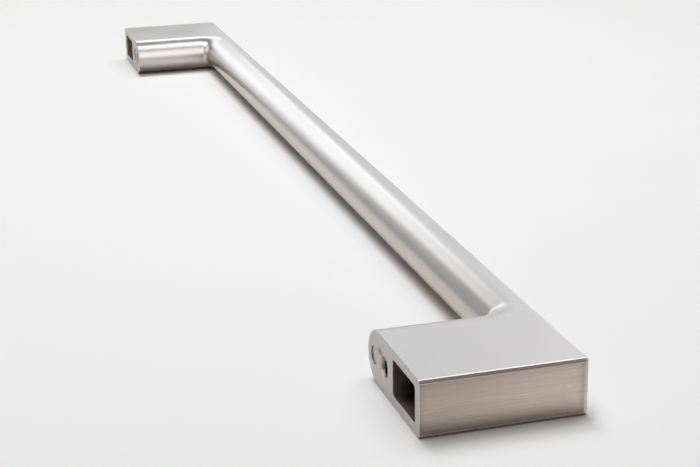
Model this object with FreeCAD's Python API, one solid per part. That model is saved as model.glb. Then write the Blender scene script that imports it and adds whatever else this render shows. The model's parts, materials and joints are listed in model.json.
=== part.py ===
import FreeCAD, Part
import math
import os

# Appliance pull: one zinc die casting in the shape of a long U, lying on one of its flat sides.
# Millimetres. +X runs along the bar, +Z is up, the bar's outer face looks along -Y and the two
# mounting faces look along +Y. The origin is under the middle of the bounding box.
# Every section is a D: two parallel flat sides, a flat outer face and a half-elliptic inner side.

# Overall form
WIDTH = 18.0  # between the two flat sides
HOLE_SPACING = 457.2  # between the two screw axes
HOLE_FROM_END = 32.0  # screw axis to the end face of its post
PROJECTION = 52.0  # mounting face to the bar's outer face

# Section of the posts and the bar
POST_FLAT_DEPTH = 37.5  # end face to the start of the rounding
BAR_FLAT_DEPTH = 3.5  # outer face to the start of the rounding
NOSE_DEPTH = 10.5  # reach of the half ellipse beyond the flats
INNER_CORNER_RADIUS = 2.5  # plan radius at the crest of the rounding, between post and bar

# Edges
OUTER_CORNER_RADIUS = 1.5  # upright corners at the bar's two ends
LONG_EDGE_RADIUS = 0.6  # where a flat side meets the outer face or an end face
FOOT_EDGE_RADIUS = 0.2  # round each mounting face

# Coring pocket in each mounting face
POCKET_END_WALL = 3.6  # end face to the pocket
POCKET_SIDE_WALL = 3.2  # flat side to the pocket
POCKET_LENGTH = 20.8
POCKET_FLOOR = 4.0  # metal left under the bar's outer face
POCKET_CORNER_RADIUS = 1.4
POCKET_DRAFT_DEG = 1.0

# Blind tapped hole in each mounting face, at its thread's core size
SCREW_CORE_DIAMETER = 5.1
SCREW_DEPTH = 18.0  # mounting face to the end of the full bore
SCREW_TIP_ANGLE_DEG = 118.0
COUNTERSINK_DIAMETER = 7.2
COUNTERSINK_ANGLE_DEG = 90.0

# Round mark that the mould's ejector pin leaves
MARK_FROM_END = 41.8
MARK_DIAMETER = 5.8
MARK_DEPTH = 0.35

# Worked out from the sizes above
LENGTH = HOLE_SPACING + 2 * HOLE_FROM_END
END_X = -LENGTH / 2  # end face of the first post
FOOT_Y = PROJECTION / 2  # mounting faces
FACE_Y = -PROJECTION / 2  # outer face of the bar
MID_Z = WIDTH / 2
POST_FLAT_X = END_X + POST_FLAT_DEPTH
BAR_FLAT_Y = FACE_Y + BAR_FLAT_DEPTH
FLAT_CORNER_RADIUS = INNER_CORNER_RADIUS + NOSE_DEPTH
CORNER_X = POST_FLAT_X + FLAT_CORNER_RADIUS  # centre of the first inner corner
CORNER_Y = BAR_FLAT_Y + FLAT_CORNER_RADIUS
BAR_RUN = -2 * CORNER_X  # straight bar between the two corner centres
SEAM = 1e-3  # how near an edge lies to a plane to count as on it

UP = FreeCAD.Vector(0, 0, 1)
MIRROR_PLANE = (FreeCAD.Vector(0, 0, 0), FreeCAD.Vector(1, 0, 0))


def point(x, y, z=0.0):
    return FreeCAD.Vector(x, y, z)


def line(start, end):
    return Part.LineSegment(start, end).toShape()


def arc(start, middle, end):
    return Part.Arc(start, middle, end).toShape()


def with_mirror_image(shape):
    """The shape at the first post, and its copy at the second."""
    return [shape, shape.mirror(*MIRROR_PLANE)]


def flat_outline():
    """Plan of the full-height metal: a U whose inner corners are arcs."""
    slant = FLAT_CORNER_RADIUS * math.sqrt(0.5)
    corner = arc(
        point(POST_FLAT_X, CORNER_Y),
        point(CORNER_X - slant, CORNER_Y - slant),
        point(CORNER_X, BAR_FLAT_Y),
    )
    half = [
        line(point(0, FACE_Y), point(END_X, FACE_Y)),
        line(point(END_X, FACE_Y), point(END_X, FOOT_Y)),
        line(point(END_X, FOOT_Y), point(POST_FLAT_X, FOOT_Y)),
        line(point(POST_FLAT_X, FOOT_Y), point(POST_FLAT_X, CORNER_Y)),
        corner,
        line(point(CORNER_X, BAR_FLAT_Y), point(0, BAR_FLAT_Y)),
    ]
    edges = [edge for piece in half for edge in with_mirror_image(piece)]
    return Part.Wire(Part.__sortEdges__(edges))


def nose_section():
    """Half ellipse beyond the first post's flats, standing in the plane at the corner's centre."""
    middle = point(POST_FLAT_X, CORNER_Y, MID_Z)
    low = point(POST_FLAT_X, CORNER_Y, 0)
    high = point(POST_FLAT_X, CORNER_Y, WIDTH)
    crest = point(POST_FLAT_X + NOSE_DEPTH, CORNER_Y, MID_Z)
    if NOSE_DEPTH >= MID_Z:
        ellipse = Part.Ellipse(crest, high, middle)
    else:
        ellipse = Part.Ellipse(high, crest, middle)
    start, end = ellipse.parameter(low), ellipse.parameter(high)
    curve = Part.ArcOfEllipse(ellipse, start, end).toShape()
    if curve.BoundBox.XMin < POST_FLAT_X - SEAM:
        curve = Part.ArcOfEllipse(ellipse, end, start).toShape()
    return Part.Face(Part.Wire([curve, line(high, low)]))


def nose():
    """The rounded inner side of both posts, both corners and the bar."""
    section = nose_section()
    post = section.extrude(point(0, FOOT_Y - CORNER_Y))
    centre = point(CORNER_X, CORNER_Y)
    corner = section.revolve(centre, UP, 90)
    bar_section = section.rotated(centre, UP, 90)
    bar = bar_section.extrude(point(BAR_RUN, 0))
    return with_mirror_image(post) + with_mirror_image(corner) + [bar]


def upright_outer_edges(shape):
    """The two upright edges between the outer face and the end faces."""
    found = []
    for edge in shape.Edges:
        box = edge.BoundBox
        upright = box.ZLength > WIDTH - SEAM and box.XLength < SEAM
        if upright and abs(box.YMin - FACE_Y) < SEAM and abs(abs(box.XMin) - LENGTH / 2) < SEAM:
            found.append(edge)
    return found


def long_outer_edges(shape):
    """Edges where a flat side meets the outer face, an end face or the round between them."""
    found = []
    for edge in shape.Edges:
        box = edge.BoundBox
        level = box.ZLength < SEAM and min(abs(box.ZMin), abs(box.ZMin - WIDTH)) < SEAM
        reach = OUTER_CORNER_RADIUS + SEAM
        at_end = max(abs(box.XMin), abs(box.XMax)) > LENGTH / 2 - reach and box.XLength < reach
        at_face = box.YMax < FACE_Y + reach
        if level and (at_end or at_face):
            found.append(edge)
    return found


def foot_edges(shape):
    """The outline of both mounting faces."""
    return [edge for edge in shape.Edges if edge.BoundBox.YMin > FOOT_Y - SEAM]


def solid_pull():
    """The whole casting before its recesses."""
    plate = Part.Face(flat_outline()).extrude(point(0, 0, WIDTH))
    body = plate.multiFuse(nose()).removeSplitter()
    body = body.Solids[0]
    body = body.makeFillet(OUTER_CORNER_RADIUS, upright_outer_edges(body))
    body = body.makeFillet(LONG_EDGE_RADIUS, long_outer_edges(body))
    return body.makeFillet(FOOT_EDGE_RADIUS, foot_edges(body))


def pocket_outline(inset, y):
    """Rounded rectangle in the plane at y, drawn in from the pocket's mouth by inset."""
    radius = POCKET_CORNER_RADIUS
    west = END_X + POCKET_END_WALL + inset
    east = END_X + POCKET_END_WALL + POCKET_LENGTH - inset
    low = POCKET_SIDE_WALL + inset
    high = WIDTH - POCKET_SIDE_WALL - inset
    slant = radius * (1 - math.sqrt(0.5))
    edges = [
        line(point(west + radius, y, low), point(east - radius, y, low)),
        arc(point(east - radius, y, low), point(east - slant, y, low + slant), point(east, y, low + radius)),
        line(point(east, y, low + radius), point(east, y, high - radius)),
        arc(point(east, y, high - radius), point(east - slant, y, high - slant), point(east - radius, y, high)),
        line(point(east - radius, y, high), point(west + radius, y, high)),
        arc(point(west + radius, y, high), point(west + slant, y, high - slant), point(west, y, high - radius)),
        line(point(west, y, high - radius), point(west, y, low + radius)),
        arc(point(west, y, low + radius), point(west + slant, y, low + slant), point(west + radius, y, low)),
    ]
    return Part.Wire(edges)


def pocket():
    """Deep coring pocket that narrows with the mould's draft."""
    depth = PROJECTION - POCKET_FLOOR
    inset = depth * math.tan(math.radians(POCKET_DRAFT_DEG))
    mouth = pocket_outline(0, FOOT_Y)
    floor = pocket_outline(inset, FOOT_Y - depth)
    return Part.makeLoft([mouth, floor], True, True)


def screw_hole():
    """Countersunk blind bore with the drill's cone at its end."""
    bore = SCREW_CORE_DIAMETER / 2
    mouth = COUNTERSINK_DIAMETER / 2
    sink = (mouth - bore) / math.tan(math.radians(COUNTERSINK_ANGLE_DEG / 2))
    tip = bore / math.tan(math.radians(SCREW_TIP_ANGLE_DEG / 2))
    axis_x = -HOLE_SPACING / 2
    profile = [(0, 0), (mouth, 0), (bore, sink), (bore, SCREW_DEPTH), (0, SCREW_DEPTH + tip), (0, 0)]
    corners = [point(axis_x + across, FOOT_Y - down, MID_Z) for across, down in profile]
    section = Part.Face(Part.makePolygon(corners))
    return section.revolve(point(axis_x, FOOT_Y, MID_Z), FreeCAD.Vector(0, 1, 0), 360)


def ejector_mark():
    """Shallow round recess near the post's rounded side."""
    centre = point(END_X + MARK_FROM_END, FOOT_Y, MID_Z)
    return Part.makeCylinder(MARK_DIAMETER / 2, MARK_DEPTH, centre, FreeCAD.Vector(0, -1, 0))


def pull():
    """The finished casting."""
    recesses = [pocket(), screw_hole(), ejector_mark()]
    both_ends = [copy for recess in recesses for copy in with_mirror_image(recess)]
    return solid_pull().cut(both_ends).Solids[0]


def main():
    os.makedirs("parts", exist_ok=True)
    shape = pull()
    shape.exportStep("parts/pull.step")
    box = shape.optimalBoundingBox(False, False)
    print(f"valid {shape.isValid()}, volume {shape.Volume:.0f} mm3, faces {len(shape.Faces)}")
    print(f"size {box.XLength:.3f} x {box.YLength:.3f} x {box.ZLength:.3f} mm")


main()
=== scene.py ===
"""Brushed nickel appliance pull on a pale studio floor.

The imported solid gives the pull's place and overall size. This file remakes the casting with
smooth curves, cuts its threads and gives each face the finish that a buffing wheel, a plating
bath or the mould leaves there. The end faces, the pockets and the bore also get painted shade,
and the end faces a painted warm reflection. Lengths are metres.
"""

import json
import math

import bmesh
import bpy
from mathutils import Matrix, Vector


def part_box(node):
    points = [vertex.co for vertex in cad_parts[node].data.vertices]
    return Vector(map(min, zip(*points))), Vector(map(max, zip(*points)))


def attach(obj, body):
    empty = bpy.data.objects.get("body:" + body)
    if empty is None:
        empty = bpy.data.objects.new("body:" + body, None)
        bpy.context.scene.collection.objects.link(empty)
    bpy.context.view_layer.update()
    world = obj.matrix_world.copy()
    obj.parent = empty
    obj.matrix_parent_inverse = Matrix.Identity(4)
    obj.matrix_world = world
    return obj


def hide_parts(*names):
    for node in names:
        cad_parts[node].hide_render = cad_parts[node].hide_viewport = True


bl_info = {
    "name": "Appliance pull",
    "version": (1, 0, 0),
    "blender": (4, 5, 0),
    "location": "View3D > Sidebar > Pull",
    "description": "Builds a brushed nickel appliance pull and its studio",
    "category": "Object",
}

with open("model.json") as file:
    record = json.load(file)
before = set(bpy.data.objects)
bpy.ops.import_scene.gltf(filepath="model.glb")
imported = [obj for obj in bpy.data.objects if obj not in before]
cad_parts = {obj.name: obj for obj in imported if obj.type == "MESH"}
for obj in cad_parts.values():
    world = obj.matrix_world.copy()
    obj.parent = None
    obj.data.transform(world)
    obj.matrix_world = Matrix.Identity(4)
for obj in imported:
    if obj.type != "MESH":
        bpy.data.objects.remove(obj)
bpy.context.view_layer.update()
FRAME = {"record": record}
PULL_LOW, PULL_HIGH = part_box("pull")
MOUNTS = {mount["name"]: mount for mount in FRAME["record"]["mounts"]}
SCREW_HOLE = MOUNTS["screw_hole_minus_x"]

END_X = PULL_LOW.x  # end face of the post at the camera's end
FACE_Y = PULL_LOW.y  # the bar's outer face
FOOT_Y = PULL_HIGH.y  # the two mounting faces
THICKNESS = PULL_HIGH.z
MID_Z = THICKNESS / 2
SCREW_X = SCREW_HOLE["pos_m"][0]
SCREW_CORE_RADIUS = SCREW_HOLE["dims"]["r_mm"] / 1000

NOSE_STEPS = 80  # facets over the half ellipse
CORNER_STEPS = 40  # facets round the quarter turn between post and bar
ROUND_STEPS = 64  # facets round a circle
EDGE_STEPS = 6  # facets over a rounded edge
MOUTH_STEPS = 4  # facets over the round at a pocket's mouth
NEAR = 1e-6  # two places this close are the same
BURIED = 0.00005  # how far a hidden surface lies inside the metal
SHARP_EDGE = math.radians(33)
ALONG = 0.999  # a face whose normal has this share along an axis lies square to it
NEARLY_ALONG = 0.99
HARDLY_ALONG = 0.01
POST_GRAIN_START = 0.010  # from an end face to where the post's own grain begins

DRILL_SLOPE = math.radians(31)  # of the cone that a 118 degree drill leaves
DRILL_POINT = 0.02  # the cone's flat end, as a share of the bore
RIDGE_HALF = 0.44  # half width of the thread's ridge at its root, in pitches
CREST_HALF = 0.08  # half width at its crest
RIDGE_START = 1.04  # depth of the ridge's first turn, in half widths of its root

SATIN, BUFFED, POST_GRAIN, FOOT, CAST, THREAD = range(6)  # material slots of the casting

OUT = Vector((0, 1, 0))  # the way that the mounting faces look
UP = Vector((0, 0, 1))


# Settings that a user would change


class PullSizes(bpy.types.PropertyGroup):
    """Sizes of the casting that its overall box doesn't give."""

    post_flat: bpy.props.FloatProperty(
        name="Post flat", description="End face to the start of the post's rounding",
        default=0.0375, unit="LENGTH")
    bar_flat: bpy.props.FloatProperty(
        name="Bar flat", description="Outer face to the start of the bar's rounding",
        default=0.0035, unit="LENGTH")
    nose: bpy.props.FloatProperty(
        name="Rounding depth", description="Reach of the half-elliptic inner side",
        default=0.0105, unit="LENGTH")
    inner_corner: bpy.props.FloatProperty(
        name="Inner corner", description="Plan radius at the crest of the rounding",
        default=0.0025, unit="LENGTH")
    outer_corner: bpy.props.FloatProperty(
        name="Outer corner", description="Radius of the upright outer corners",
        default=0.0015, unit="LENGTH")
    long_edge: bpy.props.FloatProperty(
        name="Long edge", description="Radius where a flat side meets an outer face",
        default=0.0012, unit="LENGTH")
    foot_edge: bpy.props.FloatProperty(
        name="Foot edge", description="Radius round a mounting face",
        default=0.0002, unit="LENGTH")


class RecessSizes(bpy.types.PropertyGroup):
    """Sizes of the recesses in each mounting face."""

    pocket_end_wall: bpy.props.FloatProperty(
        name="Pocket end wall", description="End face to the coring pocket",
        default=0.0036, unit="LENGTH")
    pocket_side_wall: bpy.props.FloatProperty(
        name="Pocket side wall", description="Flat side to the coring pocket",
        default=0.0030, unit="LENGTH")
    pocket_length: bpy.props.FloatProperty(
        name="Pocket length", description="Length of the coring pocket's mouth",
        default=0.0208, unit="LENGTH")
    pocket_floor: bpy.props.FloatProperty(
        name="Pocket floor", description="Metal left under the bar's outer face",
        default=0.004, unit="LENGTH")
    pocket_corner: bpy.props.FloatProperty(
        name="Pocket corner", description="Corner radius of the pocket",
        default=0.0014, unit="LENGTH")
    pocket_draft: bpy.props.FloatProperty(
        name="Pocket draft", description="Slope of the pocket's walls",
        default=math.radians(1), subtype="ANGLE")
    mouth_round: bpy.props.FloatProperty(
        name="Mouth round", description="Radius round the pocket's mouth",
        default=0.0003, unit="LENGTH")
    countersink: bpy.props.FloatProperty(
        name="Countersink", description="Diameter of the screw hole's mouth",
        default=0.0072, unit="LENGTH")
    thread: bpy.props.FloatProperty(
        name="Thread", description="Outside diameter of the thread",
        default=0.00635, unit="LENGTH")
    thread_pitch: bpy.props.FloatProperty(
        name="Thread pitch", description="Distance from one turn to the next",
        default=0.00127, unit="LENGTH")
    screw_depth: bpy.props.FloatProperty(
        name="Screw depth", description="Mounting face to the end of the bore",
        default=0.018, unit="LENGTH")
    mark_from_end: bpy.props.FloatProperty(
        name="Mark from end", description="End face to the centre of the ejector mark",
        default=0.0418, unit="LENGTH")
    mark: bpy.props.FloatProperty(
        name="Mark", description="Diameter of the ejector mark",
        default=0.0058, unit="LENGTH")
    mark_depth: bpy.props.FloatProperty(
        name="Mark depth", description="Depth of the ejector mark",
        default=0.00035, unit="LENGTH")


class PullFinish(bpy.types.PropertyGroup):
    """Colours and finish of the nickel."""

    nickel: bpy.props.FloatVectorProperty(
        name="Nickel", description="Colour of the plated faces",
        default=(0.56, 0.50, 0.45), min=0, max=1, subtype="COLOR")
    # Warmer and darker than the nickel: a painted reflection of the warm, shaded floor in front of the
    # end faces
    end: bpy.props.FloatVectorProperty(
        name="End", description="Colour of the brushed end faces",
        default=(0.54, 0.448, 0.388), min=0, max=1, subtype="COLOR")
    foot: bpy.props.FloatVectorProperty(
        name="Foot", description="Colour of the ground mounting faces",
        default=(0.52, 0.465, 0.42), min=0, max=1, subtype="COLOR")
    cast: bpy.props.FloatVectorProperty(
        name="Cast", description="Colour inside the pockets, where the plating is thin",
        default=(0.42, 0.345, 0.285), min=0, max=1, subtype="COLOR")
    # Darker than cut metal: partly the bare thread's own colour, partly painted shade of the deep hole
    thread: bpy.props.FloatVectorProperty(
        name="Thread", description="Colour of the cut thread and its bore",
        default=(0.22, 0.20, 0.185), min=0, max=1, subtype="COLOR")
    satin: bpy.props.FloatProperty(
        name="Satin", description="Roughness of the flat sides and the rounding",
        default=0.30, min=0.05, max=1, subtype="FACTOR")
    buffed: bpy.props.FloatProperty(
        name="Buffed", description="Roughness of the brushed outer faces",
        default=0.22, min=0.05, max=1, subtype="FACTOR")


class StudioSettings(bpy.types.PropertyGroup):
    """Floor, lights and camera."""

    floor: bpy.props.FloatVectorProperty(
        name="Floor", description="Colour of the floor",
        default=(0.88, 0.88, 0.88), min=0, max=1, subtype="COLOR")
    strength: bpy.props.FloatProperty(
        name="Light", description="Strength of all lights together",
        default=1.0, min=0, max=10, subtype="FACTOR")
    lens: bpy.props.FloatProperty(
        name="Lens", description="Focal length of the camera",
        default=81.55, min=20, max=200, unit="CAMERA")


# Mesh helpers


def new_piece(name, bm, materials):
    """A finished piece from a bmesh: smooth faces, sharp corners and weighted normals."""
    bmesh.ops.recalc_face_normals(bm, faces=bm.faces)
    for face in bm.faces:
        face.smooth = True
    for edge in bm.edges:
        edge.smooth = edge.calc_face_angle(0) < SHARP_EDGE
    mesh = bpy.data.meshes.new(name)
    bm.to_mesh(mesh)
    bm.free()
    for material in materials:
        mesh.materials.append(material)
    piece = bpy.data.objects.new(name, mesh)
    bpy.context.scene.collection.objects.link(piece)
    weighted = piece.modifiers.new("Weighted normals", "WEIGHTED_NORMAL")
    weighted.mode = "FACE_AREA"
    weighted.keep_sharp = True
    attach(piece, "root")
    return piece


def on_foot(x, depth=0.0):
    """Places a shape that is drawn in X and Y upright on the mounting face, at x and a depth."""
    turned = Matrix.Rotation(math.radians(-90), 4, "X")
    return Matrix.Translation((x, FOOT_Y - depth, MID_Z)) @ turned


def only(kind, geometry):
    return [item for item in geometry if isinstance(item, kind)]


def sweep_straight(bm, edges, step):
    """Extrudes a row of edges along a vector and returns the row at the far end."""
    made = bmesh.ops.extrude_edge_only(bm, edges=edges)["geom"]
    verts = only(bmesh.types.BMVert, made)
    bmesh.ops.translate(bm, verts=verts, vec=step)
    moved = set(verts)
    return [edge for edge in only(bmesh.types.BMEdge, made) if moved.issuperset(edge.verts)]


def unique(items):
    """Each item once, in the order they first come in."""
    return list(dict.fromkeys(items))


def verts_of(edges):
    return unique(vert for edge in edges for vert in edge.verts)


def sink_ring(bm, edges, down, scale=(1, 1, 1), about=(0, 0, 0)):
    """Extrudes a closed ring of edges into the foot, scaled about a point."""
    ring = sweep_straight(bm, edges, -OUT * down)
    space = Matrix.Translation(-Vector(about))
    bmesh.ops.scale(bm, vec=scale, space=space, verts=verts_of(ring))
    return ring


def close_ring(bm, ring):
    """Fills the far end of a recess."""
    return bmesh.ops.contextual_create(bm, geom=ring)["faces"]


# Casting


def rounding(bm, sizes):
    """The half-elliptic inner side, from the foot to the bar's middle. Returns its first edges."""
    post_flat_x = END_X + sizes.post_flat
    bar_flat_y = FACE_Y + sizes.bar_flat
    corner_radius = sizes.inner_corner + sizes.nose
    centre = Vector((post_flat_x + corner_radius, bar_flat_y + corner_radius, 0))
    shape = on_foot(post_flat_x) @ Matrix.Diagonal((sizes.nose, MID_Z, 1, 1))
    ring = bmesh.ops.create_circle(bm, segments=2 * NOSE_STEPS, radius=1, matrix=shape)["verts"]
    hidden = [vert for vert in ring if vert.co.x < post_flat_x - NEAR]
    bmesh.ops.delete(bm, geom=hidden, context="VERTS")
    first = list(bm.edges)
    row = sweep_straight(bm, first, -OUT * (FOOT_Y - centre.y))
    turned = bmesh.ops.spin(
        bm, geom=row + verts_of(row), cent=centre, axis=UP, angle=math.radians(90),
        steps=CORNER_STEPS, use_duplicate=False, use_merge=False)
    row = only(bmesh.types.BMEdge, turned["geom_last"])
    sweep_straight(bm, row, Vector((-centre.x, 0, 0)))
    return first


def flat_side(bm, height):
    """Fills the flat side at a height, from the rounding's rim to the outer faces."""
    rim = [
        edge for edge in bm.edges
        if edge.is_boundary and all(abs(vert.co.z - height) < NEAR for vert in edge.verts)
    ]
    foot_end = max(verts_of(rim), key=lambda vert: vert.co.y)
    bar_end = max(verts_of(rim), key=lambda vert: vert.co.x)
    places = [
        (END_X, FOOT_Y, height),
        (END_X, FACE_Y, height),
        (0, FACE_Y, height),
    ]
    corners = [bm.verts.new(place) for place in places]
    chain = [foot_end, *corners, bar_end]
    edges = [bm.edges.new(pair) for pair in zip(chain, chain[1:])]
    bmesh.ops.contextual_create(bm, geom=rim + edges)
    return corners


def outer_faces(bm, low, high):
    """The end face and the outer face, between the corners of the two flat sides."""
    for number in range(2):
        bm.faces.new((low[number], low[number + 1], high[number + 1], high[number]))


def facing(face, axis):
    """How squarely a face looks along an axis: 1 fully, 0 not at all."""
    return abs(face.normal[axis])


def is_long_edge(edge, reach):
    """Whether a flat side meets the outer face, an end face or the round between them here."""
    turns = [facing(face, 2) for face in edge.link_faces]
    if len(turns) != 2 or min(turns) > HARDLY_ALONG or max(turns) < NEARLY_ALONG:
        return False
    if any(face.normal.y > 0.5 for face in edge.link_faces):
        return False
    return all(min(vert.co.x - END_X, vert.co.y - FACE_Y) < reach for vert in edge.verts)


def round_edges(bm, sizes):
    """Rounds the upright corner, the long edges and the foot's outline. Returns the foot."""
    upright = [
        edge for edge in bm.edges
        if all(max(abs(vert.co.x - END_X), abs(vert.co.y - FACE_Y)) < NEAR for vert in edge.verts)
    ]
    bevel(bm, upright, sizes.outer_corner)
    bm.normal_update()
    long_edges = [edge for edge in bm.edges if is_long_edge(edge, sizes.outer_corner)]
    bevel(bm, long_edges, sizes.long_edge)
    bm.normal_update()
    bevel(bm, list(foot_face(bm).edges), sizes.foot_edge, EDGE_STEPS // 2)
    bm.normal_update()
    return foot_face(bm)


def foot_face(bm):
    """The largest face that looks out of the foot."""
    feet = [face for face in bm.faces if face.normal.y > NEARLY_ALONG]
    return max(feet, key=bmesh.types.BMFace.calc_area)


def bevel(bm, edges, radius, steps=EDGE_STEPS):
    bmesh.ops.bevel(
        bm, geom=edges, offset=radius, offset_type="OFFSET", segments=steps, profile=0.5,
        affect="EDGES", material=-1, clamp_overlap=False)


def pocket(bm, sizes):
    """Coring pocket with a rounded mouth and drafted walls. Returns the mouth's edges."""
    x = END_X + sizes.pocket_end_wall + sizes.pocket_length / 2
    centre = (x, FOOT_Y, MID_Z)
    radius = sizes.mouth_round
    flare = radius  # half of the round lies outside the pocket's own size
    size = Vector((sizes.pocket_length + flare, THICKNESS - 2 * sizes.pocket_side_wall + flare))
    shape = on_foot(x) @ Matrix.Diagonal((size.x / 2, size.y / 2, 1, 1))
    corners = bmesh.ops.create_grid(bm, x_segments=1, y_segments=1, size=1, matrix=shape)["verts"]
    made = bmesh.ops.bevel(
        bm, geom=corners, offset=sizes.pocket_corner, offset_type="OFFSET", segments=EDGE_STEPS,
        profile=0.5, affect="VERTICES", material=-1)
    faces = made["faces"] + [face for vert in made["verts"] for face in vert.link_faces]
    plate = max(faces, key=bmesh.types.BMFace.calc_area)
    mouth = list(plate.edges)
    bmesh.ops.delete(bm, geom=[plate], context="FACES_ONLY")

    def sink(ring, place, target):
        """Extrudes the ring from one (inset, depth) to the next."""
        share = [(side - 2 * target[0]) / (side - 2 * place[0]) for side in size]
        return sink_ring(bm, ring, target[1] - place[1], (share[0], 1, share[1]), centre)

    ring, place = mouth, (0, 0)
    for step in range(1, MOUTH_STEPS + 1):
        angle = math.radians(90) * step / MOUTH_STEPS
        target = (radius * math.sin(angle), radius * (1 - math.cos(angle)))
        ring, place = sink(ring, place, target), target
        paint(ring, FOOT)
    depth = FOOT_Y - FACE_Y - sizes.pocket_floor
    lean = (depth - place[1]) * math.tan(sizes.pocket_draft)
    floor = sink(ring, place, (place[0] + lean, depth))
    # The pocket's walls and floor take the cast finish; its own colour stands for thin plating and its
    # mask paints shade with depth
    for face in close_ring(bm, floor):
        face.material_index = CAST
    paint(floor, CAST)
    return mouth


def paint(edges, finish):
    """Gives the faces at the edges a finish."""
    for edge in edges:
        for face in edge.link_faces:
            face.material_index = finish


def circle(bm, x, radius):
    """A ring of edges on the mounting face."""
    made = bmesh.ops.create_circle(bm, segments=ROUND_STEPS, radius=radius, matrix=on_foot(x))
    ring = made["verts"]
    return [edge for edge in bm.edges if edge.is_wire and all(vert in ring for vert in edge.verts)]


def screw_hole(bm, sizes):
    """Countersink, bore at the thread's outside size and drill's cone. Returns the mouth's edges."""
    mouth = circle(bm, SCREW_X, sizes.countersink / 2)
    centre = (SCREW_X, FOOT_Y, MID_Z)
    share = sizes.thread / sizes.countersink
    sink = (sizes.countersink - sizes.thread) / 2
    bore = sink_ring(bm, mouth, sink, (share, 1, share), centre)
    countersink = {face for edge in bore for face in edge.link_faces}
    bottom = sink_ring(bm, bore, sizes.screw_depth - sink)
    cone_depth = sizes.thread / 2 * math.tan(DRILL_SLOPE)
    tip = sink_ring(bm, bottom, cone_depth, (DRILL_POINT, 1, DRILL_POINT), centre)
    close_ring(bm, tip)
    # The bore and the drill's cone take the thread's dark colour, partly painted shade of the deep
    # hole
    paint(bottom + tip, THREAD)
    for face in countersink:
        face.material_index = FOOT
    return mouth


def ejector_mark(bm, sizes):
    """Shallow round recess. Returns its rim."""
    rim = circle(bm, END_X + sizes.mark_from_end, sizes.mark / 2)
    floor = sink_ring(bm, rim, sizes.mark_depth)
    # The mark's wall takes the darker cast finish, partly painted shade on the wall
    paint(floor, CAST)
    for face in close_ring(bm, floor):
        face.material_index = FOOT
    return rim


def half_casting(bm, sizes, recesses):
    """The post at the camera's end and half of the bar."""
    foot_row = rounding(bm, sizes)
    low = flat_side(bm, 0)
    high = flat_side(bm, THICKNESS)
    outer_faces(bm, low, high)
    upright = [edge for edge in low[0].link_edges if edge.other_vert(low[0]) is high[0]]
    rims = [
        edge for edge in bm.edges
        if all(abs(v.co.y - FOOT_Y) < NEAR for v in edge.verts) and edge.is_boundary
    ]
    bmesh.ops.contextual_create(bm, geom=unique(rims + upright + foot_row))
    bmesh.ops.recalc_face_normals(bm, faces=bm.faces)
    foot = round_edges(bm, sizes)
    outline = list(foot.edges)
    bmesh.ops.delete(bm, geom=[foot], context="FACES_ONLY")
    paint_outside(bm)
    mouths = pocket(bm, recesses) + screw_hole(bm, recesses) + ejector_mark(bm, recesses)
    made = bmesh.ops.triangle_fill(
        bm, use_beauty=True, use_dissolve=False, edges=outline + mouths, normal=OUT)
    for face in only(bmesh.types.BMFace, made["geom"]):
        face.material_index = FOOT


def paint_outside(bm):
    """Gives each outer face the finish of its place."""
    bm.normal_update()
    for face in bm.faces:
        middle = face.calc_center_median()
        if facing(face, 0) > ALONG and middle.x < END_X + NEAR:
            face.material_index = BUFFED
        elif middle.y > 0 and facing(face, 2) < ALONG and middle.x > END_X + POST_GRAIN_START:
            face.material_index = POST_GRAIN
        else:
            face.material_index = SATIN


class PULL_OT_casting(bpy.types.Operator):
    """Build the casting with its pockets, screw holes and ejector marks"""

    bl_idname = "pull.casting"
    bl_label = "Casting"

    def execute(self, context):
        scene = context.scene
        bm = bmesh.new()
        half_casting(bm, scene.pull_sizes, scene.recess_sizes)
        bmesh.ops.mirror(bm, geom=bm.verts[:] + bm.edges[:] + bm.faces[:], axis="X", merge_dist=NEAR)
        bmesh.ops.remove_doubles(bm, verts=bm.verts, dist=NEAR)
        piece = new_piece("pull_casting", bm, finishes(scene.pull_finish))
        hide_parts("pull")
        return {"FINISHED"}


# Threads


class PULL_OT_threads(bpy.types.Operator):
    """Cut the screw thread's ridge in both holes"""

    bl_idname = "pull.threads"
    bl_label = "Threads"

    def execute(self, context):
        sizes = context.scene.recess_sizes
        material = finishes(context.scene.pull_finish)[THREAD]
        for side, name in ((1, "thread_near"), (-1, "thread_far")):
            bm = bmesh.new()
            thread_ridge(bm, sizes)
            bmesh.ops.transform(bm, matrix=on_foot(side * SCREW_X), verts=bm.verts)
            new_piece(name, bm, [material])
        return {"FINISHED"}


def thread_ridge(bm, sizes):
    """Helical ridge on the bore's wall, wound along Z and cut by the countersink at its top."""
    outer = sizes.thread / 2
    inner = SCREW_CORE_RADIUS
    half = sizes.thread_pitch * RIDGE_HALF
    crest = sizes.thread_pitch * CREST_HALF
    profile = [(outer, -half), (inner, -crest), (inner, crest), (outer, half)]
    verts = [bm.verts.new((radius, 0, along)) for radius, along in profile]
    face = bm.faces.new(verts)
    top = half * RIDGE_START
    bottom = sizes.screw_depth - half
    turns = (bottom - top) / sizes.thread_pitch
    steps = round(turns * ROUND_STEPS / 2)
    bmesh.ops.translate(bm, verts=verts, vec=UP * -bottom)
    rise = UP * ((bottom - top) / steps)
    bmesh.ops.spin(
        bm, geom=[face, *face.edges, *verts], cent=(0, 0, 0), axis=UP, dvec=rise,
        angle=turns * 2 * math.pi, steps=steps, use_duplicate=False)
    for vert in bm.verts:
        radius = math.hypot(vert.co.x, vert.co.y)
        cone = sizes.countersink / 2 + vert.co.z + BURIED
        if radius < cone:
            vert.co.x *= cone / radius
            vert.co.y *= cone / radius


# Materials


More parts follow.
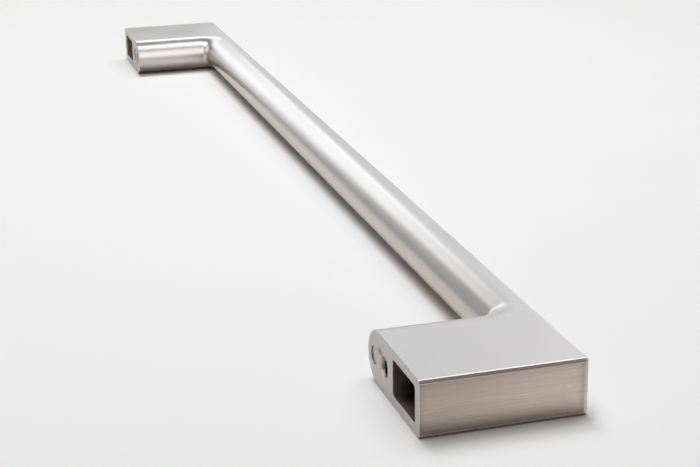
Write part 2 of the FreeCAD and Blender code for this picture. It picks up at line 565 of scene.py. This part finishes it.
FINE_DETAIL, FINE_ROUGHNESS = 4.0, 0.6  # of the noise behind the fine streaks
BROAD_SCALE = 0.18  # of the broad streaks, against the fine ones
SPECKLE_SCALE = 2600.0  # per metre
NOISE_LOW, NOISE_HIGH = 0.25, 0.75  # most of the noise lies between these
TONE_PER_GRAIN = 1.2  # swing of the tone against that of the roughness, over the streaks
TONE_PER_BLOTCH = 0.6  # and over the blotches
SPECKLE_RELIEF = 0.3  # height of the speckle against that of the streaks

# The burr beside each screw hole, in the half at +X
BURR_PLACE = (abs(SCREW_X) - 0.0036, FOOT_Y, MID_Z + 0.0034)
BURR_SIZE = (0.0028, 0.0010, 0.0013)
BURR_NOISE_SCALE = 1500.0
BURR_SHADE = (0.5, 1.8), (0.3, 1.0)  # in burr sizes from its middle

# Darkening over a finish, painted shade except along an end face's corner: two distances, and the
# brightness at each
POCKET_PAINTED_SHADE = (0.0, 0.010), (0.8, 0.05)  # with depth in the pocket
# Painted light and shade on the end faces: darker towards the foot and the flat sides and brighter
# towards the corner, standing in for the reflected floor; also darker in a band along the upright
# corner
END_PAINTED_SLOPE = (0.0, 0.044), (0.82, 1.06)  # over an end face, from the foot to the corner
END_FOOT_PAINTED_SHADE = (0.0002, 0.0022), (0.86, 1.0)  # from the foot
END_CORNER_DARKER = (0.0018, 0.0040), (0.80, 1.0)  # from the bar's outer face
END_SIDE_PAINTED_SHADE = (0.0035, 0.0085), (1.0, 0.74)  # from the brightest level to the flat sides
END_PAINTED_BRIGHTEST_Z = MID_Z + 0.0008


def add_group_socket(group, name, kind, way, default=None):
    socket = group.interface.new_socket(name=name, in_out=way, socket_type=kind)
    if default is not None:
        socket.default_value = default


def link(tree, source, target):
    tree.links.new(source, target)


def math_node(tree, operation, *values):
    """A sum, product or the like of numbers and outputs."""
    node = tree.nodes.new("ShaderNodeMath")
    node.operation = operation
    for socket, value in zip(node.inputs, values):
        if isinstance(value, (int, float)):
            socket.default_value = value
        else:
            link(tree, value, socket)
    return node.outputs[0]


def noise_node(tree, vector, scale, detail=2.0, rough=0.5):
    node = tree.nodes.new("ShaderNodeTexNoise")
    node.inputs["Scale"].default_value = scale
    node.inputs["Detail"].default_value = detail
    node.inputs["Roughness"].default_value = rough
    link(tree, vector, node.inputs["Vector"])
    return node.outputs["Fac"]


def brushed_grain_group():
    """Fine streaks along one direction, with a few broad ones, from stretched noise."""
    name = "Brushed grain"
    if name in bpy.data.node_groups:
        return bpy.data.node_groups[name]
    group = bpy.data.node_groups.new(name, "ShaderNodeTree")
    add_group_socket(group, "Vector", "NodeSocketVector", "INPUT")
    add_group_socket(group, "Stretch", "NodeSocketVector", "INPUT", (1, 1, 1))
    add_group_socket(group, "Broad share", "NodeSocketFloat", "INPUT", 0.4)
    add_group_socket(group, "Streak", "NodeSocketFloat", "OUTPUT")
    source = group.nodes.new("NodeGroupInput")
    result = group.nodes.new("NodeGroupOutput")
    stretch = group.nodes.new("ShaderNodeVectorMath")
    stretch.operation = "MULTIPLY"
    link(group, source.outputs["Vector"], stretch.inputs[0])
    link(group, source.outputs["Stretch"], stretch.inputs[1])
    fine = noise_node(group, stretch.outputs[0], 1.0, FINE_DETAIL, FINE_ROUGHNESS)
    broad = noise_node(group, stretch.outputs[0], BROAD_SCALE)
    broad_share = source.outputs["Broad share"]
    fine_share = math_node(group, "SUBTRACT", 1.0, broad_share)
    fine_part = math_node(group, "MULTIPLY", fine, fine_share)
    broad_part = math_node(group, "MULTIPLY", broad, broad_share)
    link(group, math_node(group, "ADD", fine_part, broad_part), result.inputs["Streak"])
    return group


def handling_group():
    """Soft blotches such as plating and handling leave, and a sparse fine speckle."""
    name = "Handling"
    if name in bpy.data.node_groups:
        return bpy.data.node_groups[name]
    group = bpy.data.node_groups.new(name, "ShaderNodeTree")
    add_group_socket(group, "Vector", "NodeSocketVector", "INPUT")
    add_group_socket(group, "Blotch size", "NodeSocketFloat", "INPUT", 40.0)
    add_group_socket(group, "Blotch", "NodeSocketFloat", "OUTPUT")
    add_group_socket(group, "Speckle", "NodeSocketFloat", "OUTPUT")
    source = group.nodes.new("NodeGroupInput")
    result = group.nodes.new("NodeGroupOutput")
    blotch = group.nodes.new("ShaderNodeTexNoise")
    blotch.inputs["Detail"].default_value = 3.0
    link(group, source.outputs["Vector"], blotch.inputs["Vector"])
    link(group, source.outputs["Blotch size"], blotch.inputs["Scale"])
    link(group, blotch.outputs["Fac"], result.inputs["Blotch"])
    speckle = noise_node(group, source.outputs["Vector"], SPECKLE_SCALE, 1.0)
    link(group, speckle, result.inputs["Speckle"])
    return group


def varied(tree, value, middle, swing):
    """A number that swings about its middle as a 0 to 1 value does."""
    node = tree.nodes.new("ShaderNodeMapRange")
    node.inputs["From Min"].default_value = NOISE_LOW
    node.inputs["From Max"].default_value = NOISE_HIGH
    node.inputs["To Min"].default_value = middle - swing
    node.inputs["To Max"].default_value = middle + swing
    link(tree, value, node.inputs["Value"])
    return node.outputs["Result"]


def shaded(tree, colour, share):
    """A colour made darker where a 0 to 1 value is low."""
    node = tree.nodes.new("ShaderNodeMix")
    node.data_type = "RGBA"
    node.blend_type = "MULTIPLY"
    node.inputs["Factor"].default_value = 1.0
    node.inputs["A"].default_value = (*colour, 1)
    link(tree, share, node.inputs["B"])
    return node.outputs["Result"]


def vector_node(tree, operation, vector, by=None):
    """A vector changed by another, which is a constant."""
    node = tree.nodes.new("ShaderNodeVectorMath")
    node.operation = operation
    link(tree, vector, node.inputs[0])
    if by is not None:
        node.inputs[1].default_value = by
    return node


def burr_mask(tree, place):
    """1 on bare metal, less on the ragged burr that the tap leaves beside each screw hole."""
    same_side = vector_node(tree, "ABSOLUTE", place).outputs[0]
    near = vector_node(tree, "SUBTRACT", same_side, BURR_PLACE).outputs[0]
    scaled = vector_node(tree, "DIVIDE", near, BURR_SIZE).outputs[0]
    away = vector_node(tree, "LENGTH", scaled).outputs["Value"]
    ragged = math_node(tree, "ADD", away, noise_node(tree, same_side, BURR_NOISE_SCALE, 3.0))
    return ramp(tree, ragged, *BURR_SHADE)


def pocket_painted_shade(tree, place):
    """Painted shade: bright at a pocket's mouth, dark with depth."""
    parts = tree.nodes.new("ShaderNodeSeparateXYZ")
    link(tree, place, parts.inputs[0])
    return ramp(tree, math_node(tree, "SUBTRACT", FOOT_Y, parts.outputs["Y"]), *POCKET_PAINTED_SHADE)


def end_face_painted_shade(tree, place):
    """1 in the middle of an end face, less along its edges: painted shade of the reflected floor, and
    darker along the upright corner.
    """
    parts = tree.nodes.new("ShaderNodeSeparateXYZ")
    link(tree, place, parts.inputs[0])
    from_foot = math_node(tree, "SUBTRACT", FOOT_Y, parts.outputs["Y"])
    from_corner = math_node(tree, "SUBTRACT", parts.outputs["Y"], FACE_Y)
    above_brightest = math_node(tree, "SUBTRACT", parts.outputs["Z"], END_PAINTED_BRIGHTEST_Z)
    from_brightest = math_node(tree, "ABSOLUTE", above_brightest)
    edges = [
        (from_foot, END_FOOT_PAINTED_SHADE),
        (from_corner, END_CORNER_DARKER),
        (from_brightest, END_SIDE_PAINTED_SHADE),
    ]
    mask = ramp(tree, from_foot, *END_PAINTED_SLOPE)
    for distance, shade in edges:
        mask = math_node(tree, "MULTIPLY", mask, ramp(tree, distance, *shade))
    return mask


def ramp(tree, value, source, target):
    """A number that runs smoothly between two targets while the value crosses the source range."""
    node = tree.nodes.new("ShaderNodeMapRange")
    node.interpolation_type = "SMOOTHSTEP"
    node.inputs["From Min"].default_value, node.inputs["From Max"].default_value = source
    node.inputs["To Min"].default_value, node.inputs["To Max"].default_value = target
    link(tree, value, node.inputs["Value"])
    return node.outputs["Result"]


def metal(name, colour, roughness, stretch, grain, bump, blotch=0.03, blotch_size=40, mask=None):
    """Nickel with streaks along one direction and soft blotches."""
    if name in bpy.data.materials:
        return bpy.data.materials[name]
    material = bpy.data.materials.new(name)
    material.use_nodes = True
    tree = material.node_tree
    shader = tree.nodes["Principled BSDF"]
    shader.inputs["Metallic"].default_value = 1.0
    place = tree.nodes.new("ShaderNodeTexCoord").outputs["Object"]
    streaks = tree.nodes.new("ShaderNodeGroup")
    streaks.node_tree = brushed_grain_group()
    streaks.inputs["Stretch"].default_value = stretch
    link(tree, place, streaks.inputs["Vector"])
    handling = tree.nodes.new("ShaderNodeGroup")
    handling.node_tree = handling_group()
    handling.inputs["Blotch size"].default_value = blotch_size
    link(tree, place, handling.inputs["Vector"])
    streak = streaks.outputs["Streak"]
    spots = handling.outputs["Blotch"]
    streak_rough = varied(tree, streak, roughness, grain)
    spot_rough = varied(tree, spots, 0.0, blotch)
    link(tree, math_node(tree, "ADD", streak_rough, spot_rough), shader.inputs["Roughness"])
    streak_tone = varied(tree, streak, 1.0, grain * TONE_PER_GRAIN)
    spot_tone = varied(tree, spots, 1.0, blotch * TONE_PER_BLOTCH)
    tone = math_node(tree, "MULTIPLY", streak_tone, spot_tone)
    if mask:
        tone = math_node(tree, "MULTIPLY", tone, mask(tree, place))
    link(tree, shaded(tree, colour, tone), shader.inputs["Base Color"])
    relief = tree.nodes.new("ShaderNodeBump")
    relief.inputs["Strength"].default_value = 1.0
    relief.inputs["Distance"].default_value = bump
    speckle = math_node(tree, "MULTIPLY", handling.outputs["Speckle"], SPECKLE_RELIEF)
    link(tree, math_node(tree, "ADD", streak, speckle), relief.inputs["Height"])
    link(tree, relief.outputs["Normal"], shader.inputs["Normal"])
    return material


def finishes(look):
    """The casting's materials in slot order. Streaks run along the axis of the smallest stretch."""
    nickel = look.nickel[:]
    return [
        metal("satin_sides", nickel, look.satin, (25, 900, 900), grain=0.02, bump=4e-7),
        # End faces: their warm colour is a painted reflection and their mask is painted shade
        metal(
            "buffed_end_and_painted_shade", look.end[:], look.buffed, (1900, 60, 1900), grain=0.15, bump=3e-6,
            mask=end_face_painted_shade),
        metal("satin_post", nickel, look.satin, (1400, 25, 1400), grain=0.04, bump=1.5e-6),
        metal(
            "ground_foot", look.foot[:], 0.45, (700, 500, 700), grain=0.06, bump=4e-6,
            blotch=0.24, blotch_size=260, mask=burr_mask),
        # Cast colour of the thinly plated hollows, with painted shade that deepens with depth
        metal(
            "cast_pocket_and_painted_shade", look.cast[:], 0.45, (900, 900, 900), grain=0.14, bump=3e-5,
            blotch=0.08, blotch_size=200, mask=pocket_painted_shade),
        # The thread and bore colour is partly painted shade of the deep hole
        metal("cut_thread_and_painted_shade", look.thread[:], 0.28, (900, 900, 900), grain=0.06, bump=4e-6),
    ]


# Studio


FLOOR_HALF = 6  # metres from its middle to its edge
MOTTLE_SCALE = 9.0
ROOM_COLOUR = (1.0, 0.92, 0.74, 1)
ROOM_STRENGTH = 0.13


def floor_material(colour):
    """Matt white board with a barely visible mottle."""
    material = bpy.data.materials.new("studio_floor")
    material.use_nodes = True
    tree = material.node_tree
    shader = tree.nodes["Principled BSDF"]
    shader.inputs["Specular IOR Level"].default_value = 0.0
    place = tree.nodes.new("ShaderNodeTexCoord").outputs["Object"]
    mottle = varied(tree, noise_node(tree, place, MOTTLE_SCALE, 3.0), 0.995, 0.006)
    link(tree, shaded(tree, colour[:], mottle), shader.inputs["Base Color"])
    return material


# Soft boxes that face the pull. Each has a name, azimuth from +X towards +Y and elevation in degrees,
# width, height, radiance of its face, colour, the place along the pull that it faces and its distance.
# The first list shows in the metal and sheds no light on the floor, the second the other way round.
REFLECTED = [
    ("window", 4, 26, 0.432, 0.391, 2.10, (0.81, 0.90, 1.0)),
    ("window_foot", 8.5, 8, 0.285, 0.197, 1.65, (0.80, 0.89, 1.0)),
    ("side_card", -23, 14, 0.432, 0.391, 0.81, (0.83, 0.91, 1.0)),
    ("side_card_top", -23, 32, 0.432, 0.197, 1.60, (0.77, 0.87, 1.0)),
    ("side_lamp", -45, 14, 0.285, 0.391, 1.72, (0.77, 0.83, 1.0)),
    ("left_card", 31, 14, 0.416, 0.391, 0.46, (0.73, 0.88, 1.0)),
    ("overhead", 0, 85, 0.5, 0.5, 1.60, (0.94, 0.97, 1.0)),
    ("left_overhead", 60, 72, 0.4, 0.4, 5.5, (0.58, 0.76, 1.0)),
    ("right_overhead", -60, 58, 0.5, 0.5, 3.4, (0.84, 0.89, 1.0)),
    ("far_left_card", 80, 30, 0.9, 0.6, 1.6, (0.89, 0.90, 1.0)),
    ("near_left_card", 135, 30, 0.9, 0.6, 0.5, (1.0, 0.98, 0.96)),
    ("near_card", 190, 32, 0.9, 0.5, 0.2, (1.0, 0.98, 0.96)),
    ("near_right_card", -115, 30, 0.9, 0.6, 0.5, (1.0, 0.98, 0.96)),
    ("far_right_card", -75, 24, 0.5, 0.5, 0.9, (1.0, 0.93, 0.98)),
    ("far_post_card", -168, 30, 0.35, 0.3, 1.75, (0.81, 0.88, 1.0), 0.23, 0.33),
]
ON_FLOOR = [
    ("floor_front", 0, 62, 0.5, 0.5, 7.82, (0.93, 0.94, 1.0), 0, 1.6),
    ("floor_middle", 0, 75, 0.5, 0.5, 8.9, (0.98, 0.94, 0.91), 0, 1.6),
    ("floor_left", 90, 75, 0.5, 0.5, 6.6, (0.94, 0.99, 1.0), 0, 1.6),
    ("floor_right", -60, 60, 0.8, 0.8, 2.41, (0.91, 0.97, 1.0), 0, 1.6),
    ("floor_near", 0, 90, 0.5, 0.5, 1.15, (0.91, 0.90, 1.0), -0.26, 0.7),
]


def soft_light(
        strength, name, azimuth, elevation, width, height, radiance, colour, aim_x=0.0, distance=0.9):
    """A softbox that faces a place on the pull's length."""
    data = bpy.data.lights.new(name, "AREA")
    data.shape = "RECTANGLE"
    data.size, data.size_y = width, height
    data.color = colour
    data.energy = radiance * strength * math.pi * width * height
    lamp = bpy.data.objects.new(name, data)
    turn, tilt = math.radians(azimuth), math.radians(elevation)
    way = Vector((math.cos(turn) * math.cos(tilt), math.sin(turn) * math.cos(tilt), math.sin(tilt)))
    lamp.location = Vector((aim_x, 0, 0)) + way * distance
    lamp.rotation_euler = way.to_track_quat("Z", "Y").to_euler()
    lamp.visible_camera = False
    bpy.context.scene.collection.objects.link(lamp)
    return lamp


CAMERA_PLACE = Vector((-0.6431, 0.1577, 0.1999))
CAMERA_HEADING = math.radians(-16.36)  # from +X towards +Y
CAMERA_PITCH = math.radians(-18.87)
CAMERA_ROLL = math.radians(-0.80)
SENSOR_WIDTH = 36.0


def place_camera(lens):
    data = bpy.data.cameras.new("camera")
    data.sensor_width = SENSOR_WIDTH
    data.lens = lens
    camera = bpy.data.objects.new("camera", data)
    quarter = math.radians(90)
    turn = Matrix.Rotation(CAMERA_HEADING - quarter, 4, "Z")
    tilt = Matrix.Rotation(quarter + CAMERA_PITCH, 4, "X")
    roll = Matrix.Rotation(CAMERA_ROLL, 4, "Z")
    camera.matrix_world = Matrix.Translation(CAMERA_PLACE) @ turn @ tilt @ roll
    bpy.context.scene.collection.objects.link(camera)
    bpy.context.scene.camera = camera


def place_floor(colour):
    bm = bmesh.new()
    bmesh.ops.create_grid(bm, x_segments=1, y_segments=1, size=FLOOR_HALF)
    mesh = bpy.data.meshes.new("floor")
    bm.to_mesh(mesh)
    bm.free()
    mesh.materials.append(floor_material(colour))
    floor = bpy.data.objects.new("floor", mesh)
    bpy.context.scene.collection.objects.link(floor)


def room_light(strength):
    world = bpy.data.worlds.new("room")
    world.use_nodes = True
    back = world.node_tree.nodes["Background"]
    back.inputs["Color"].default_value = ROOM_COLOUR
    back.inputs["Strength"].default_value = ROOM_STRENGTH * strength
    bpy.context.scene.world = world


class PULL_OT_studio(bpy.types.Operator):
    """Set up the floor, the soft lights and the camera"""

    bl_idname = "pull.studio"
    bl_label = "Studio"

    def execute(self, context):
        studio = context.scene.studio_settings
        place_floor(studio.floor)
        room_light(studio.strength)
        for light in REFLECTED:
            soft_light(studio.strength, *light).visible_diffuse = False
        for light in ON_FLOOR:
            soft_light(studio.strength, *light).visible_glossy = False
        place_camera(studio.lens)
        context.scene.view_settings.view_transform = "Standard"
        return {"FINISHED"}


class PULL_PT_panel(bpy.types.Panel):
    """Lists the pull's settings and steps"""

    bl_label = "Appliance pull"
    bl_idname = "PULL_PT_panel"
    bl_space_type = "VIEW_3D"
    bl_region_type = "UI"
    bl_category = "Pull"

    def draw(self, context):
        scene = context.scene
        for group in (scene.pull_sizes, scene.recess_sizes, scene.pull_finish, scene.studio_settings):
            box = self.layout.box()
            for name in group.__annotations__:
                box.prop(group, name)
        for operator in OPERATORS:
            self.layout.operator(operator.bl_idname)


SETTINGS = {
    "pull_sizes": PullSizes,
    "recess_sizes": RecessSizes,
    "pull_finish": PullFinish,
    "studio_settings": StudioSettings,
}
OPERATORS = [PULL_OT_casting, PULL_OT_threads, PULL_OT_studio]


def register():
    for kind in [*SETTINGS.values(), *OPERATORS, PULL_PT_panel]:
        bpy.utils.register_class(kind)
    for name, kind in SETTINGS.items():
        setattr(bpy.types.Scene, name, bpy.props.PointerProperty(type=kind))


def unregister():
    for name in SETTINGS:
        delattr(bpy.types.Scene, name)
    for kind in [PULL_PT_panel, *reversed(OPERATORS), *reversed(SETTINGS.values())]:
        bpy.utils.unregister_class(kind)


def main():
    register()
    bpy.ops.pull.casting()
    bpy.ops.pull.threads()
    bpy.ops.pull.studio()


if __name__ == "__main__":
    main()
